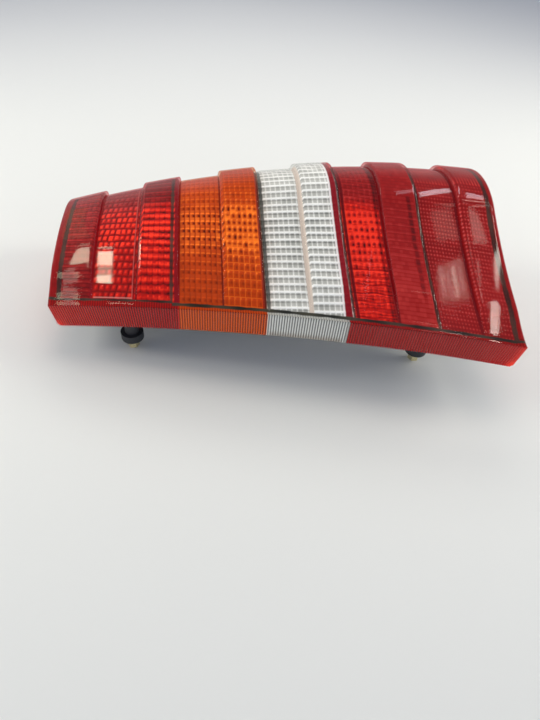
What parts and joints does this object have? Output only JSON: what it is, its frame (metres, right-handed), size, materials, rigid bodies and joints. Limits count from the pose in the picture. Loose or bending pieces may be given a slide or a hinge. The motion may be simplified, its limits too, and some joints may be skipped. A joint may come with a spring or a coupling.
{
  "type": "tail light cluster",
  "caption": "Rear corner lamp with a long banded lens in red, amber and clear, fluted side skirt, black seal bead, bulb carrier and threaded mounting studs.",
  "frame": {"origin": "middle of the lamp's bounding box in plan, at the plane of the stud ends", "axes": "+X along the lamp from its narrow upper end to its wide lower end, +Y from the fluted skirt towards the car's side, +Z out of the lens"},
  "size_m": [0.418, 0.2536, 0.1422],
  "materials": {
    "red_lens": "moulded clear red, glossy",
    "amber_lens": "moulded clear amber, glossy",
    "clear_lens": "moulded colourless, glossy",
    "reflex_red": "prismatic clear red",
    "sealant": "black sealant, satin",
    "housing_plastic": "moulded, fine grain",
    "mirror_metal": "vacuum metallised",
    "carrier_plastic": "moulded, off-white",
    "seal_rubber": "black rubber, matt",
    "zinc": "yellow passivated zinc",
    "strip_brass": "stamped, dull",
    "cap_brass": "drawn, satin",
    "bulb_glass": "clear",
    "connector_plastic": "moulded black"
  },
  "bodies": {
    "root": {"lens_red_upper": "red_lens", "lens_amber": "amber_lens", "lens_clear": "clear_lens", "lens_red_lower": "red_lens", "reflex_plate": "reflex_red", "seal_bead": "sealant", "housing": "housing_plastic", "reflector_stop": "mirror_metal", "reflector_turn": "mirror_metal", "reflector_reverse": "mirror_metal", "reflector_tail": "mirror_metal", "bulb_carrier": "carrier_plastic", "carrier_seal": "seal_rubber", "carrier_screws": "zinc", "bulb_stop_cap": "cap_brass", "bulb_turn_cap": "cap_brass", "bulb_reverse_cap": "cap_brass", "bulb_tail_cap": "cap_brass", "bulb_stop_glass": "bulb_glass", "bulb_turn_glass": "bulb_glass", "bulb_reverse_glass": "bulb_glass", "bulb_tail_glass": "bulb_glass", "earth_strip": "strip_brass", "feed_strip_stop": "strip_brass", "feed_strip_turn": "strip_brass", "feed_strip_reverse": "strip_brass", "feed_strip_tail": "strip_brass", "connector_shell": "connector_plastic", "connector_pins": "strip_brass", "studs": "zinc", "stud_rings": "seal_rubber", "stud_nuts": "zinc"}
  },
  "joints": []
}
